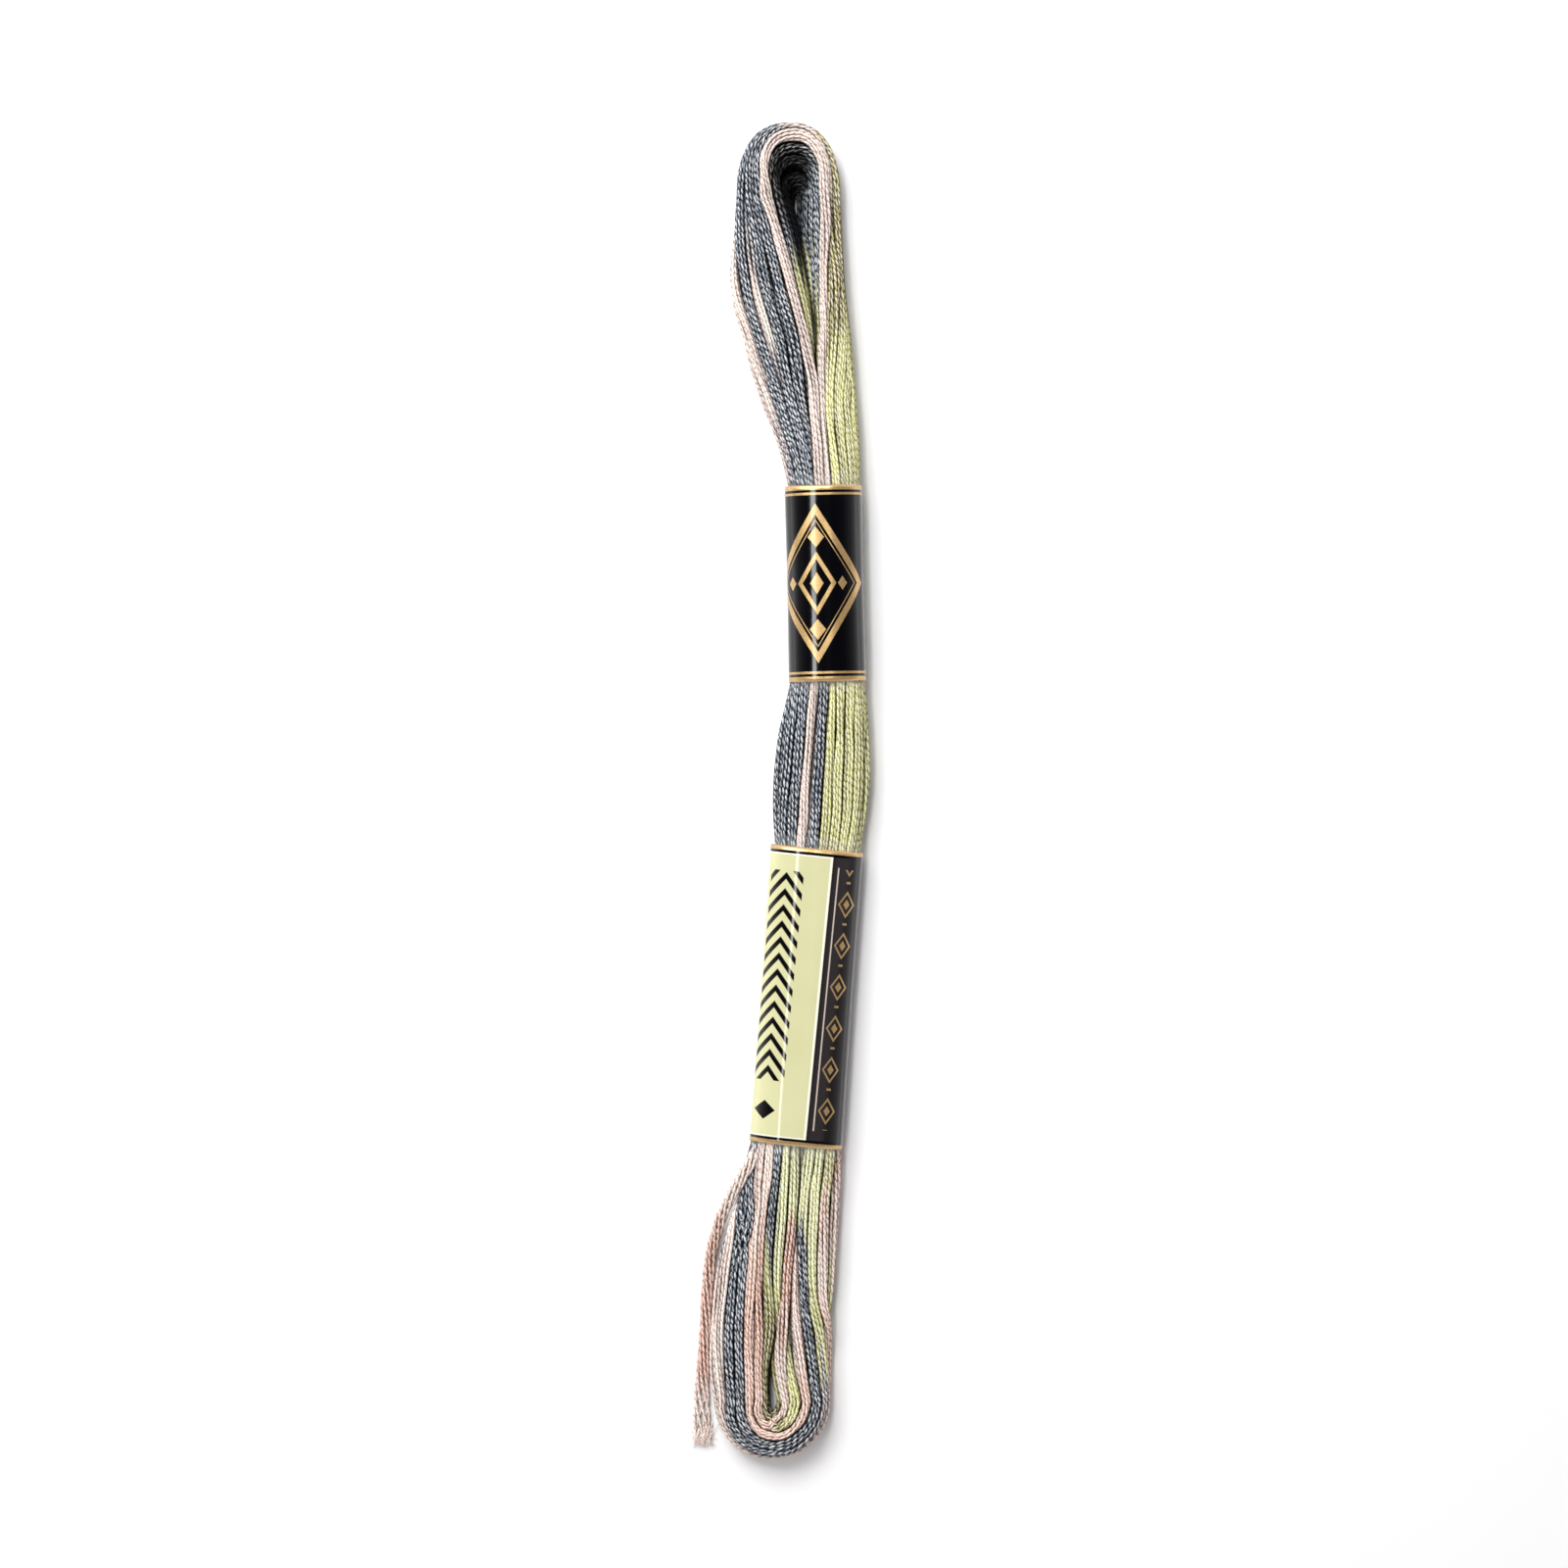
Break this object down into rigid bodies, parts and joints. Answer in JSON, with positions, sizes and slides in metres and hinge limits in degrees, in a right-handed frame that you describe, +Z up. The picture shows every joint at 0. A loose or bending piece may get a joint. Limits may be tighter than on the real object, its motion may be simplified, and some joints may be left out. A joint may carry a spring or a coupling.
{
  "type": "skein of embroidery floss",
  "caption": "Flattened pull skein of variegated stranded embroidery floss in printed film sleeves, lying on its back with an eye at each end and a loose pulling end.",
  "frame": {"origin": "centre of the bounding box, on the surface that the skein lies on", "axes": "+Y along the skein to its top loop, +X across it, +Z up from the surface"},
  "size_m": [0.0227, 0.1746, 0.0064],
  "materials": {
    "floss": "lustrous twisted floss, dyed in blended lengths of slate, pale pink and lime green",
    "loose_floss": "lustrous twisted floss, pale pink to peach",
    "black_film": "glossy thin film printed black with gold lines, clear at both edges",
    "green_film": "glossy thin film printed pale green and black with gold lines, clear at both edges"
  },
  "bodies": {
    "root": {"skein": "floss", "loose_end": "loose_floss", "upper_band": "black_film", "lower_band": "green_film"}
  },
  "joints": []
}
